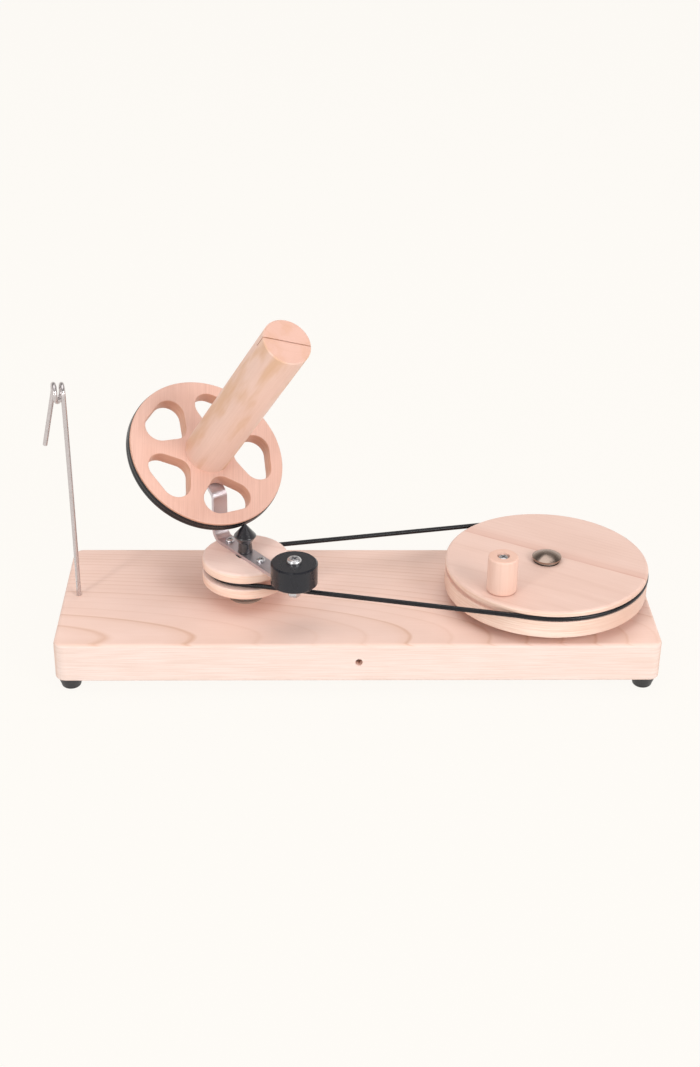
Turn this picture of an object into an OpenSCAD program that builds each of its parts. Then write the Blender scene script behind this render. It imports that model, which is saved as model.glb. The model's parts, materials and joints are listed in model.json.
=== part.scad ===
// Ball winder for yarn, turned by hand: a board with feet carries a drive wheel with a crank
// knob, and a round band turns a small pulley. An arm on the pulley carries a leaning spindle
// past a fixed cone, and the spindle's wheel rolls on the cone, so that the ball of yarn also
// turns slowly on its own axis.
// Millimetres. +X runs along the board from the yarn guide to the drive wheel, +Y to the back,
// +Z up, and the origin is the middle of the plane that the feet stand on.

/* [Base board] */
// Length of the board
base_len = 500; // [460:1:560]
// Depth of the board from front to back
base_depth = 162; // [140:1:200]
// Thickness of the board
base_thick = 35; // [30:0.5:45]
// Radius of the board's corners, seen from above
base_corner_r = 9; // [6:0.5:12]
// Rounding of the board's top edge
base_top_round = 3; // [1:0.5:5]
// Rounding of the board's bottom edge
base_bottom_round = 2; // [1:0.5:5]
// Diameter of the blind hole in the front edge, where a table clamp's peg goes
clamp_hole_d = 6.2; // [3:0.1:10]
// Depth of the blind hole in the front edge
clamp_hole_depth = 40; // [20:1:60]
// Height of that hole's middle over the board's underside
clamp_hole_rise = 18.3; // [12:0.1:20]

/* [Feet] */
// Diameter of a rubber foot where it meets the board
foot_d = 22; // [16:0.5:23]
// Height of a rubber foot
foot_tall = 11; // [8:0.5:16]
// How much narrower a foot is at the floor
foot_taper = 5.5; // [0:0.5:7]
// Distance of a foot's middle from the board's edges
foot_inset = 12; // [12:0.1:25]
// Diameter of the screw that holds a foot
foot_screw_d = 3.5; // [3:0.1:4.5]
// Length of that screw in the board
foot_screw_grip = 14; // [8:1:20]

/* [Layout] */
// Distance of the drive wheel's axis from the board's right end
drive_inset = 88.8; // [80:0.1:100]
// Distance between the axes of the drive wheel and the pulley
axle_spacing = 255.9; // [245:0.1:265]

/* [Drive wheel] */
// Diameter of the drive wheel
drive_wheel_d = 172; // [160:1:180]
// Thickness of the drive wheel
drive_wheel_thick = 24.5; // [22:0.5:28]
// Gap between the board and the drive wheel
drive_wheel_gap = 9.5; // [9:0.5:13]
// Rounding of the drive wheel's top edge
drive_top_round = 2.6; // [1:0.1:3]
// Rounding of the drive wheel's bottom edge
drive_bottom_round = 1; // [0.5:0.5:3]
// Diameter of the bolt that the drive wheel turns on
drive_axle_d = 10; // [8:0.5:11]
// Outer diameter of the drive wheel's ball bearings
drive_bearing_d = 22; // [20:0.5:24]
// Width of the drive wheel's ball bearings
drive_bearing_w = 6; // [5:0.5:8]
// Diameter of the axle bolt's domed head
dome_head_d = 24.8; // [22:0.1:28]
// Height of the dome over the head's rim
dome_height = 3.9; // [3:0.1:6]
// Thickness of the head's rim
dome_rim = 1.4; // [1:0.1:2]

/* [Crank knob] */
// Distance of the knob from the drive wheel's axis
knob_reach = 66; // [50:0.5:67]
// Direction of the knob from the drive wheel's axis, from +X
knob_azimuth = -131.4; // [-180:0.1:180]
// Diameter of the knob
knob_d = 25; // [20:0.5:32]
// Height of the knob
knob_tall = 31.7; // [25:0.1:45]
// Rounding of the knob's edges
knob_round = 1.5; // [0.5:0.1:4]
// Diameter of the recess over the knob's screw
knob_recess_d = 10.5; // [10:0.1:13]
// Depth of the screw's head below the knob's top
knob_screw_sunk = 0.6; // [0.2:0.1:6]
// Diameter of the knob's screw
knob_screw_d = 5; // [4:0.1:6]

/* [Drive band] */
// Diameter of the round elastic band
band_d = 4; // [3:0.5:5]
// Depth of the band's middle below the drive wheel's top face
band_drop = 6.3; // [6:0.1:9]
// Depth of the band's middle within the drive wheel's rim
drive_band_inset = 3; // [2.5:0.1:5]
// Depth of the band's middle within the pulley's rim
pulley_band_inset = 4.5; // [3:0.1:6]

/* [Pulley] */
// Diameter of the pulley
pulley_d = 73; // [66:0.5:80]
// Thickness of the pulley
pulley_thick = 24.5; // [23:0.5:30]
// Gap between the board and the pulley
pulley_gap = 15.5; // [13:0.5:16]
// Rounding of the pulley's outer edges
pulley_round = 3.2; // [1:0.1:5]
// Rounding of the edges on both sides of the pulley's groove
pulley_lip_round = 1.6; // [0.5:0.1:2.5]
// Diameter of the fixed post that the pulley turns on
post_d = 8; // [6:0.5:8]
// Outer diameter of the ball bearings on the post and in the spindle
bearing_d = 22; // [19:0.5:24]
// Width of the ball bearings on the post and in the spindle
bearing_w = 7; // [6:0.5:8]
// Depth of the upper bearing below the pulley's top face
bearing_sunk = 1.5; // [1:0.1:3]
// Diameter of the wide washer between the post's nut and the board
penny_washer_d = 30; // [24:1:36]

/* [Winder arm] */
// Width of the bent flat bar
arm_width = 14; // [13:0.5:18]
// Thickness of the bar
arm_thick = 3; // [2.5:0.1:4]
// Direction of the arm's raised end from the pulley's axis, from +X
arm_azimuth = 127.6; // [-180:0.1:180]
// Distance of the upright stretch's middle from the pulley's axis
arm_riser_reach = 36.6; // [34:0.1:39]
// Inside radius of the lower bend
arm_lower_bend_r = 7; // [4:0.5:8]
// Inside radius of the upper bend
arm_upper_bend_r = 5; // [3:0.5:8]
// Distance from the pulley's axis to each screw that holds the arm
arm_screw_reach = 22; // [19:0.5:23]
// Diameter of those two screws
arm_screw_d = 4; // [3:0.1:5]
// Length of those screws in the pulley
arm_screw_grip = 16; // [8:1:20]

/* [Counterweight] */
// Distance of the counterweight from the pulley's axis
weight_reach = 68; // [60:0.5:76]
// Diameter of the counterweight
weight_d = 38.5; // [30:0.5:46]
// Height of the counterweight
weight_tall = 19.7; // [12:0.1:30]
// Chamfer of the counterweight's edges
weight_chamfer = 1.2; // [0.4:0.1:3]
// Diameter of the counterweight's bolt
weight_bolt_d = 6; // [5:0.5:8]

/* [Fixed cone] */
// Height of the cone's tip over the top of the arm
cone_tip_rise = 26.6; // [24:0.1:29]
// Radius of the cone's rim
cone_rim_r = 9.4; // [8:0.1:11]
// Rounding of the cone's rim
cone_rim_round = 1; // [0.5:0.1:1.5]
// Radius of the cone's neck where it is thinnest
cone_neck_r = 5.6; // [5.2:0.1:6.5]
// Height of the neck's thinnest place over the top of the arm
cone_neck_rise = 8.5; // [6:0.1:10]
// Radius of the neck's foot, just over the arm
cone_foot_r = 6.3; // [6:0.1:6.8]
// Radius of the boss that reaches through the arm to the bearing
cone_boss_r = 5; // [4.8:0.1:5.2]

/* [Winding wheel] */
// Lean of the spindle from upright, and half the angle of the fixed cone's point
spindle_tilt = 39.4; // [36:0.1:42]
// Diameter of the winding wheel
winding_wheel_d = 136.8; // [126:0.1:144]
// Thickness of the winding wheel
winding_wheel_thick = 13; // [12:0.5:15]
// Rounding of the winding wheel's edges
winding_round = 1.2; // [0.4:0.1:2]
// Radius on the cone where the tyre rolls
contact_r = 2.4; // [1.8:0.1:3]
// Width of the rubber tyre
tyre_width = 8; // [6:0.1:9]
// Thickness of the tyre at its crown
tyre_thick = 4.8; // [3:0.1:6]
// Height of the tyre's crown over the wheel's rim
tyre_proud = 0.8; // [0.6:0.1:2]
// Radius of the crown across the tyre
tyre_crown_r = 9; // [7:0.5:14]
// Gap between the winding wheel and the arm
wheel_arm_gap = 2.2; // [1.5:0.1:4]

/* [Windows in the winding wheel] */
// Number of windows
window_count = 5; // [3:1:5]
// Direction of one window in the wheel's plane, from its highest point
window_angle = 30; // [0:1:71]
// Distance from the wheel's axis to a window's inner end
window_inner_reach = 24; // [22:0.5:26]
// Distance from the wheel's axis to a window's outer side
window_outer_reach = 57; // [52:0.5:58]
// Radius of the inner end
window_inner_r = 11; // [8:0.5:12]
// Radius of the two outer corners
window_outer_r = 12.5; // [9:0.5:13]
// Width of a window's outer side, over its round corners
window_width = 43; // [32:0.5:44]

/* [Spindle core] */
// Diameter of the core that the yarn is wound on
core_d = 40; // [36:0.5:42]
// Length of the core in front of the winding wheel
core_len = 176; // [120:1:220]
// Chamfer of the core's end
core_chamfer = 0.8; // [0.2:0.1:3]
// Width of the slit that holds the yarn's start
slit_w = 1; // [0.6:0.1:3]
// Depth of the slit
slit_depth = 12; // [6:0.5:25]
// Direction of the slit in the core's end, from its highest point
slit_angle = 62.4; // [0:0.1:180]
// Distance between the spindle's two bearings
spindle_bearing_gap = 18.5; // [12:0.5:40]

/* [Yarn guide] */
// Diameter of the guide's wire
guide_wire_d = 4; // [3:0.1:5]
// Distance of the guide from the board's left end
guide_inset = 13; // [8:0.5:25]
// Height of the eye's middle over the board
guide_rise = 184.6; // [120:0.1:230]
// Radius of the eye along the middle of the wire
guide_eye_r = 7; // [6:0.1:10]
// Sideways step of the wire in each half turn of the eye
guide_eye_step = 2.9; // [2.8:0.1:4]
// Length of the free end below the eye
guide_leg_len = 49; // [20:1:80]
// Lean of the free end from upright
guide_leg_lean = 11.5; // [2:0.5:30]
// Inside radius of the small bend above the free end
guide_leg_bend_r = 8; // [4:0.5:20]
// Length of the wire in the board
guide_grip = 25; // [15:1:28]

/* [Clearances] */
// Radial gap where pieces are pressed or screwed together
seat_gap = 0.05; // [0.02:0.01:0.1]
// Radial gap where a piece turns on another
run_gap = 0.05; // [0.03:0.01:0.1]
// Gap between flat faces that turn past each other
face_gap = 0.15; // [0.1:0.05:0.3]
// Gap between curved faces that roll or slide on each other
skin_gap = 0.3; // [0.2:0.05:0.4]

/* [Hidden] */
$fn = 96;

// How far a cutting body reaches past the face that it cuts
past = 1;
// Where a straight run of the band meets an arc it reaches in by this much, and is a hair
// thinner, so that the two are one solid
joint_reach = 0.2;
joint_step = 0.02;

// Heights of the board, the drive wheel and the band
board_z0 = foot_tall;
board_top = board_z0 + base_thick;
drive_wheel_r = drive_wheel_d / 2;
drive_z0 = board_top + drive_wheel_gap;
drive_top = drive_z0 + drive_wheel_thick;
band_z = drive_top - band_drop;
groove_r = band_d / 2 + skin_gap;
drive_band_r = drive_wheel_r - drive_band_inset;
drive_lip_round = 0.6;

// Heights of the pulley and the arm
pulley_r = pulley_d / 2;
pulley_band_r = pulley_r - pulley_band_inset;
pulley_z0 = board_top + pulley_gap;
pulley_top = pulley_z0 + pulley_thick;
arm_top = pulley_top + arm_thick;
upper_bearing_z = pulley_top - bearing_sunk - bearing_w;
lower_bearing_z = pulley_z0 + 1;

// Places on the board
drive_x = base_len / 2 - drive_inset;
flyer_x = drive_x - axle_spacing;
foot_x = base_len / 2 - foot_inset;
foot_y = base_depth / 2 - foot_inset;
foot_places = [[-foot_x, -foot_y], [foot_x, -foot_y], [foot_x, foot_y], [-foot_x, foot_y]];
guide_x = -base_len / 2 + guide_inset;

// Fasteners: a nut is as tall and as wide across its flats as its thread asks for
function nut_tall(d) = 0.8 * d;
function nut_flats(d) = d <= 5 ? 1.6 * d : d <= 8 ? 1.0 * d + 5 : 1.7 * d;
function washer_d(d) = 2.1 * d;
washer_thick = 1.6;
axle_washer_thick = 2;
shim_thick = 0.5;
ring_land = 1.8;
recess_clear = 4;
bolt_end_clear = 1.2;
axle_recess_z = board_z0 + 12;
post_recess_z = board_z0 + 10;
bolt_end_z = board_z0 + bolt_end_clear;
foot_recess_d = 9;
foot_recess_depth = 5;
foot_head_d = 7;
foot_head_tall = 2.3;
foot_edge_round = 3;
knob_head_d = 1.88 * knob_screw_d;
knob_head_tall = 0.64 * knob_screw_d;
knob_washer_thick = 1;
knob_nut_tall = 4.6;
knob_screw_end = 1;
arm_head_d = 1.9 * arm_screw_d;
arm_head_tall = 0.62 * arm_screw_d;
weight_head_d = 2.05 * weight_bolt_d;
weight_head_tall = 0.58 * weight_bolt_d;
weight_nut_tall = 5;
thread_past_nut = 1.2;

// The fixed cone
cone_tip_z = arm_top + cone_tip_rise;
cone_neck_z = arm_top + cone_neck_rise;
cone_foot_z = arm_top + skin_gap;
cone_boss_z = upper_bearing_z + bearing_w + face_gap;
cone_bore_depth = 15;
post_top_z = cone_boss_z + cone_bore_depth - 1;
arm_centre_hole_r = cone_boss_r + 0.5;

// The tyre's crown stays skin_gap off the cone's flank at contact_r, and the winding wheel's
// face, arm plate and axle follow from there. u runs out along the arm, z up.
tyre_r = winding_wheel_d / 2 + tyre_proud;
wheel_normal = [-sin(spindle_tilt), cos(spindle_tilt)];
up_slope = [cos(spindle_tilt), sin(spindle_tilt)];
contact_point = [contact_r, cone_tip_z - contact_r / tan(spindle_tilt)];
tyre_centre = contact_point + (tyre_r + skin_gap) * up_slope;
wheel_face = tyre_centre + winding_wheel_thick / 2 * wheel_normal;

// The arm's bends, in the same plane: the lower one turns up from the pulley, and the upper one
// leans the plate parallel to the winding wheel
plate_back = winding_wheel_thick + wheel_arm_gap + arm_thick;
plate_middle = wheel_face - (plate_back - arm_thick / 2) * wheel_normal;
lower_bend = [arm_riser_reach - arm_thick / 2 - arm_lower_bend_r, arm_top + arm_lower_bend_r];
upper_bend_u = arm_riser_reach + arm_thick / 2 + arm_upper_bend_r;
upper_mid_r = arm_upper_bend_r + arm_thick / 2;
upper_bend = [upper_bend_u, plate_middle[1]
    - (upper_mid_r + (plate_middle[0] - upper_bend_u) * sin(spindle_tilt)) / cos(spindle_tilt)];
bend_steps = 18;
rim_steps = 8;
window_steps = 12;

// Places along the spindle's axle, measured from the winding wheel's face
rear_bearing_z = -winding_wheel_thick + 0.5;
front_bearing_z = rear_bearing_z + bearing_w + spindle_bearing_gap;
axle_head_z = front_bearing_z + bearing_w + face_gap;
axle_head_tall = 5.3;
core_bore_end = axle_head_z + axle_head_tall + 2;
axle_head_bore_d = bearing_d - 4;
spindle_nut_z = -plate_back - washer_thick - nut_tall(post_d);

// The guide's eye
guide_z = board_top + guide_rise;
eye_half_turns = 3;
leg_x = guide_x - eye_half_turns * guide_eye_step;
leg_bend_mid_r = guide_leg_bend_r + guide_wire_d / 2;
wire_end_gap = 0.5;
wire_sides = 12;

// Outward direction of the line that touches two circles on one side, side being 1 or -1
function tangent_side(c1, r1, c2, r2, side) =
    let (d = norm(c2 - c1), e = (c2 - c1) / d, m = side * [-e[1], e[0]], c = (r1 - r2) / d)
    c * e + sqrt(1 - c * c) * m;

// Points along an arc
function arc_points(centre, r, from, to, steps) =
    [for (i = [0 : steps]) let (a = from + (to - from) * i / steps)
        centre + r * [cos(a), sin(a)]];

// Frames of reference
module at_drive(z = 0) { translate([drive_x, 0, z]) children(); }

module at_knob(z = 0) {
    at_drive(z) rotate([0, 0, knob_azimuth]) translate([knob_reach, 0, 0]) children();
}

module at_post(z = 0) { translate([flyer_x, 0, z]) children(); }

module at_arm(z = 0) { at_post(z) rotate([0, 0, arm_azimuth]) children(); }

module at_weight(z = 0) { at_arm(z) translate([-weight_reach, 0, 0]) children(); }

module at_spindle(z = 0) {
    at_arm() translate([wheel_face[0], 0, wheel_face[1]]) rotate([0, -spindle_tilt, 0])
        translate([0, 0, z]) children();
}

// Half outline of a turned disc with rounded top and bottom edges
module disc_outline(r, tall, top_round, bottom_round) {
    translate([0, bottom_round]) square([r, tall - top_round - bottom_round]);
    square([r - bottom_round, tall / 2]);
    translate([0, tall / 2]) square([r - top_round, tall / 2]);
    translate([r - bottom_round, bottom_round]) circle(bottom_round);
    translate([r - top_round, tall - top_round]) circle(top_round);
}

module turned_disc(r, tall, top_round, bottom_round) {
    rotate_extrude() intersection() {
        disc_outline(r, tall, top_round, bottom_round);
        square([r + past, tall]);
    }
}

// Outline of a slab, across its rounded edges
module slab_outline(width, tall, top_round, bottom_round) {
    for (side = [0, 1]) mirror([side, 0]) disc_outline(width / 2, tall, top_round, bottom_round);
}

// A cut from z0 up to z1
module drill(d, z0, z1) { translate([0, 0, z0]) cylinder(d = d, h = z1 - z0); }

// A ring, washer or sleeve standing on z = 0
module ring(outer_d, inner_d, tall) {
    difference() {
        cylinder(d = outer_d, h = tall);
        drill(inner_d, -past, tall + past);
    }
}

// A ball bearing standing on z = 0: two rings with a shield sunk between them on both faces
module bearing(bore_d, outer_d, width) {
    shield_sunk = 0.4;
    race_w = outer_d / 2 - bore_d / 2 - 2 * ring_land;
    difference() {
        ring(outer_d, bore_d, width);
        for (z = [-past, width - shield_sunk])
            translate([0, 0, z])
                ring(bore_d + 2 * (ring_land + race_w), bore_d + 2 * ring_land, past + shield_sunk);
    }
}

// A hexagon nut standing on z = 0, its corners chamfered on both faces
module hex_nut(thread_d, tall, flats) {
    corner_r = flats / 2 / cos(30);
    bevel = corner_r - flats / 2;
    difference() {
        intersection() {
            cylinder(r = corner_r, h = tall, $fn = 6);
            rotate_extrude() polygon([[0, 0], [flats / 2, 0], [corner_r, bevel * tan(30)],
                [corner_r, tall - bevel * tan(30)], [flats / 2, tall], [0, tall]]);
        }
        drill(thread_d + 2 * seat_gap, -past, tall + past);
    }
}

// A screw with a rounded head on z = 0 and its shank below, with a cross in the head
module pan_screw(head_d, head_tall, shank_d, shank_len, point_len = 0) {
    cross_w = head_d / 9;
    cross_reach = 0.52 * head_d;
    difference() {
        turned_disc(head_d / 2, head_tall, 0.72 * head_tall, 0.1 * head_tall);
        for (turn = [0, 90]) rotate([0, 0, turn])
            translate([-cross_reach / 2, -cross_w / 2, 0.45 * head_tall])
                cube([cross_reach, cross_w, head_tall]);
    }
    drill(shank_d, -shank_len, head_tall * 0.3);
    if (point_len > 0) translate([0, 0, -shank_len - point_len])
        cylinder(d1 = 0.3, d2 = shank_d, h = point_len);
}

// Base
module board_blank() {
    side_x = base_len / 2 - base_corner_r;
    side_y = base_depth / 2 - base_corner_r;
    rotate([90, 0, 90]) translate([0, 0, -side_x]) linear_extrude(2 * side_x)
        slab_outline(base_depth, base_thick, base_top_round, base_bottom_round);
    rotate([90, 0, 0]) translate([0, 0, -side_y]) linear_extrude(2 * side_y)
        slab_outline(base_len, base_thick, base_top_round, base_bottom_round);
    for (x = [-side_x, side_x], y = [-side_y, side_y]) translate([x, y, 0])
        turned_disc(base_corner_r, base_thick, base_top_round, base_bottom_round);
}

module base_board() {
    color("#d9b48f") difference() {
        translate([0, 0, board_z0]) board_blank();
        at_drive() drill(drive_axle_d + 2 * seat_gap, 0, board_top + past);
        at_drive() drill(nut_flats(drive_axle_d) / cos(30) + recess_clear, 0, axle_recess_z);
        at_post() drill(post_d + 2 * seat_gap, 0, board_top + past);
        at_post() drill(nut_flats(post_d) / cos(30) + recess_clear, 0, post_recess_z);
        translate([guide_x, 0, 0])
            drill(guide_wire_d + 2 * seat_gap, board_top - guide_grip, board_top + past);
        translate([0, -base_depth / 2, board_z0 + clamp_hole_rise]) rotate([90, 0, 0])
            drill(clamp_hole_d, -clamp_hole_depth, past);
        for (p = foot_places) translate(p)
            drill(foot_screw_d + 2 * seat_gap, 0, board_z0 + foot_screw_grip + 1);
    }
}

module rubber_foot(i) {
    color("#1c1b1b") translate([foot_places[i][0], foot_places[i][1], board_z0])
        rotate([180, 0, 0]) difference() {
        rotate_extrude() intersection() {
            union() {
                polygon([[0, 0], [foot_d / 2, 0],
                    [(foot_d - foot_taper) / 2, foot_tall - foot_edge_round],
                    [0, foot_tall - foot_edge_round]]);
                square([(foot_d - foot_taper) / 2 - foot_edge_round, foot_tall]);
                translate([(foot_d - foot_taper) / 2 - foot_edge_round,
                    foot_tall - foot_edge_round]) circle(foot_edge_round);
            }
            square([foot_d, foot_tall]);
        }
        drill(foot_screw_d + 2 * seat_gap, -past, foot_tall + past);
        drill(foot_recess_d, foot_tall - foot_recess_depth, foot_tall + past);
    }
}

module rubber_foot_1() { rubber_foot(0); }

module rubber_foot_2() { rubber_foot(1); }

module rubber_foot_3() { rubber_foot(2); }

module rubber_foot_4() { rubber_foot(3); }

module foot_screws() {
    shank = foot_tall - foot_recess_depth + foot_screw_grip;
    color("#b9b9b9") for (p = foot_places) translate([p[0], p[1], foot_recess_depth])
        rotate([180, 0, 0]) pan_screw(foot_head_d, foot_head_tall, foot_screw_d, shank - 4, 4);
}

// Yarn guide: an upright wire whose top winds one and a half turns round an eye, stepping
// sideways in each half turn, and ends in a short free leg
function eye_point(turn) =
    let (half = floor(turn / 180), part = turn / 180 - half)
    [guide_x - guide_eye_step * (half + (1 - cos(180 * part)) / 2),
        guide_eye_r * (1 - cos(turn)), guide_z + guide_eye_r * sin(turn)];

function leg_point(lean, run) =
    [leg_x - leg_bend_mid_r * (1 - cos(lean)) - run * sin(lean), 2 * guide_eye_r,
        guide_z - leg_bend_mid_r * sin(lean) - run * cos(lean)];

function guide_path() = concat([[guide_x, 0, board_top - guide_grip + wire_end_gap]],
    [for (turn = [0 : 12 : 180 * eye_half_turns]) eye_point(turn)],
    [for (i = [1 : 3]) leg_point(guide_leg_lean * i / 3, 0)],
    [leg_point(guide_leg_lean, guide_leg_len)]);

// A round wire along a path that nowhere runs along X
module wire(path, d, sides) {
    last = len(path) - 1;
    points = [for (i = [0 : last])
        let (ahead = path[min(i + 1, last)] - path[max(i - 1, 0)], t = ahead / norm(ahead),
            side = [1, 0, 0] - t[0] * t, e = side / norm(side), f = cross(t, e))
        for (k = [0 : sides - 1]) let (a = 360 * k / sides)
            path[i] + d / 2 * (cos(a) * e + sin(a) * f)];
    walls = [for (i = [0 : last - 1], k = [0 : sides - 1])
        let (a = i * sides + k, b = i * sides + (k + 1) % sides)
        [a, a + sides, b + sides, b]];
    start = [for (k = [0 : sides - 1]) k];
    end = [for (k = [sides - 1 : -1 : 0]) last * sides + k];
    polyhedron(points, concat(walls, [start, end]), convexity = 6);
}

module yarn_guide() {
    color("#c9c9c7") wire(guide_path(), guide_wire_d, wire_sides);
}

// Drive wheel's axle, from the top down
module axle_bolt() {
    head_z = drive_top + face_gap + shim_thick + axle_washer_thick;
    head_r = dome_head_d / 2;
    dome_r = (head_r * head_r + dome_height * dome_height) / 2 / dome_height;
    color("#c4c6c8") at_drive() {
        translate([0, 0, head_z]) rotate_extrude() {
            square([head_r, dome_rim]);
            intersection() {
                translate([0, dome_rim + dome_height - dome_r]) circle(dome_r);
                translate([0, dome_rim / 2]) square([head_r, dome_height + dome_rim]);
            }
        }
        drill(drive_axle_d, bolt_end_z, head_z + dome_rim / 2);
    }
}

module axle_ring(outer_d, tall, z) {
    at_drive(z) ring(outer_d, drive_axle_d + 2 * seat_gap, tall);
}

module axle_top_washer() {
    color("#b8bab9") axle_ring(washer_d(drive_axle_d), axle_washer_thick,
        drive_top + face_gap + shim_thick);
}

module axle_top_shim() {
    color("#9c9e9f") axle_ring(drive_axle_d + 2 * ring_land, shim_thick, drive_top + face_gap);
}

module axle_sleeve() {
    color("#9c9e9f") axle_ring(drive_axle_d + 2 * ring_land,
        drive_wheel_thick - 2 * drive_bearing_w - 2 * face_gap,
        drive_z0 + drive_bearing_w + face_gap);
}

module axle_lower_shim() {
    color("#9c9e9f") axle_ring(drive_axle_d + 2 * ring_land,
        drive_wheel_gap - axle_washer_thick - 0.7 * drive_axle_d - face_gap,
        board_top + axle_washer_thick + 0.7 * drive_axle_d);
}

module axle_lock_nut() {
    color("#b8bab9") at_drive(board_top + axle_washer_thick)
        hex_nut(drive_axle_d, 0.7 * drive_axle_d, nut_flats(drive_axle_d));
}

module axle_board_washer() {
    color("#b8bab9") axle_ring(washer_d(drive_axle_d), axle_washer_thick, board_top);
}

module axle_recess_washer() {
    color("#b8bab9") axle_ring(washer_d(drive_axle_d), axle_washer_thick,
        axle_recess_z - axle_washer_thick);
}

module axle_recess_nut() {
    color("#b8bab9")
        at_drive(axle_recess_z - axle_washer_thick - nut_tall(drive_axle_d))
            hex_nut(drive_axle_d, nut_tall(drive_axle_d), nut_flats(drive_axle_d));
}

// Pulley's post and what is on it
module flyer_post() {
    color("#b8bab9") at_post() drill(post_d, bolt_end_z, post_top_z);
}

module post_ring(outer_d, tall, z) { at_post(z) ring(outer_d, post_d + 2 * seat_gap, tall); }

module post_inner_sleeve() {
    color("#9c9e9f") post_ring(post_d + 2 * ring_land,
        upper_bearing_z - lower_bearing_z - bearing_w - 2 * face_gap,
        lower_bearing_z + bearing_w + face_gap);
}

module post_lower_sleeve() {
    nut_top = board_top + washer_thick + nut_tall(post_d);
    color("#9c9e9f") post_ring(post_d + 2 * ring_land, lower_bearing_z - face_gap - nut_top,
        nut_top);
}

module post_lock_nut() {
    color("#b8bab9") at_post(board_top + washer_thick)
        hex_nut(post_d, nut_tall(post_d), nut_flats(post_d));
}

module post_board_washer() {
    color("#c4c6c8") post_ring(penny_washer_d, washer_thick, board_top);
}

module post_recess_washer() {
    color("#b8bab9") post_ring(washer_d(post_d), washer_thick,
        post_recess_z - washer_thick);
}

module post_recess_nut() {
    color("#b8bab9") at_post(post_recess_z - washer_thick - nut_tall(post_d))
        hex_nut(post_d, nut_tall(post_d), nut_flats(post_d));
}

module fixed_cone() {
    rim = [cone_rim_r - cone_rim_round, cone_tip_z
        - (cone_rim_round + (cone_rim_r - cone_rim_round) * cos(spindle_tilt))
        / sin(spindle_tilt)];
    neck = [cone_neck_r, cone_neck_z];
    under = tangent_side(rim, cone_rim_round, neck, 0, 1);
    rim_arc = arc_points(rim, cone_rim_round, spindle_tilt, atan2(under[1], under[0]), rim_steps);
    color("#161616") at_post() difference() {
        rotate_extrude() polygon(concat([[0, cone_tip_z]], rim_arc, [neck,
            [cone_foot_r, cone_foot_z], [cone_boss_r, cone_foot_z], [cone_boss_r, cone_boss_z],
            [0, cone_boss_z]]));
        drill(post_d + 2 * seat_gap, cone_boss_z - past, cone_boss_z + cone_bore_depth);
    }
}

// Round band over both grooves: an arc on each wheel and two straight runs that touch both
module drive_band() {
    wrap = asin((drive_band_r - pulley_band_r) / axle_spacing);
    run = axle_spacing * cos(wrap);
    color("#171717") union() {
        at_drive(band_z) rotate([0, 0, -90 - wrap]) rotate_extrude(angle = 180 + 2 * wrap)
            translate([drive_band_r, 0]) circle(d = band_d);
        at_post(band_z) rotate([0, 0, 90 + wrap]) rotate_extrude(angle = 180 - 2 * wrap)
            translate([pulley_band_r, 0]) circle(d = band_d);
        for (side = [-1, 1]) at_drive(band_z) rotate([0, 0, side * (90 + wrap)])
            translate([drive_band_r, -side * joint_reach, 0]) rotate([-side * 90, 0, 0])
                cylinder(d = band_d - joint_step, h = run + 2 * joint_reach);
    }
}

// Turned blank with a round-bottomed groove for the band, its outline given at the groove's
// lips
module grooved_outline(r, tall, band_at, band_r, lip_round, top_round, bottom_round) {
    difference() {
        union() {
            disc_outline(r, band_at - groove_r, lip_round, bottom_round);
            translate([0, band_at + groove_r])
                disc_outline(r, tall - band_at - groove_r, top_round, lip_round);
            square([band_r, tall]);
        }
        translate([band_r, band_at]) circle(groove_r);
        translate([band_r, band_at - groove_r]) square([r, 2 * groove_r]);
        translate([-r, -past]) square([r, tall + 2 * past]);
    }
}

module drive_wheel() {
    seat_d = drive_bearing_d + 2 * seat_gap;
    color("#dcb892") difference() {
        at_drive(drive_z0) rotate_extrude()
            grooved_outline(drive_wheel_r, drive_wheel_thick, band_z - drive_z0, drive_band_r,
                drive_lip_round, drive_top_round, drive_bottom_round);
        at_drive() drill(drive_bearing_d - 2 * ring_land, drive_z0 - past, drive_top + past);
        at_drive() drill(seat_d, drive_z0 - past, drive_z0 + drive_bearing_w);
        at_drive() drill(seat_d, drive_top - drive_bearing_w, drive_top + past);
        at_knob() drill(knob_screw_d + 2 * seat_gap, drive_z0 - past, drive_top + past);
    }
}

module drive_bearing(z) {
    color("#8f9193") at_drive(z)
        bearing(drive_axle_d + 2 * run_gap, drive_bearing_d, drive_bearing_w);
}

module drive_bearing_upper() { drive_bearing(drive_top - drive_bearing_w); }

module drive_bearing_lower() { drive_bearing(drive_z0); }

// Crank knob and its screw
knob_z0 = drive_top + skin_gap;
knob_top = knob_z0 + knob_tall;
knob_head_z = knob_top - knob_screw_sunk - knob_head_tall;

module knob_screw() {
    shank_end = drive_z0 - knob_washer_thick - knob_nut_tall - knob_screw_end;
    color("#cfd0d1") at_knob(knob_head_z)
        pan_screw(knob_head_d, knob_head_tall, knob_screw_d, knob_head_z - shank_end);
}

module knob_washer() {
    color("#b8bab9") at_knob(drive_z0 - knob_washer_thick)
        ring(washer_d(knob_screw_d), knob_screw_d + 2 * seat_gap, knob_washer_thick);
}

module knob_nut() {
    color("#b8bab9") at_knob(drive_z0 - knob_washer_thick - knob_nut_tall)
        hex_nut(knob_screw_d, knob_nut_tall, nut_flats(knob_screw_d));
}

module crank_knob() {
    color("#d8b083") difference() {
        at_knob(knob_z0) turned_disc(knob_d / 2, knob_tall, knob_round, knob_round);
        at_knob() drill(knob_screw_d + 2 * run_gap, knob_z0 - past, knob_top + past);
        at_knob() drill(knob_recess_d, knob_head_z - face_gap, knob_top + past);
    }
}

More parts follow.
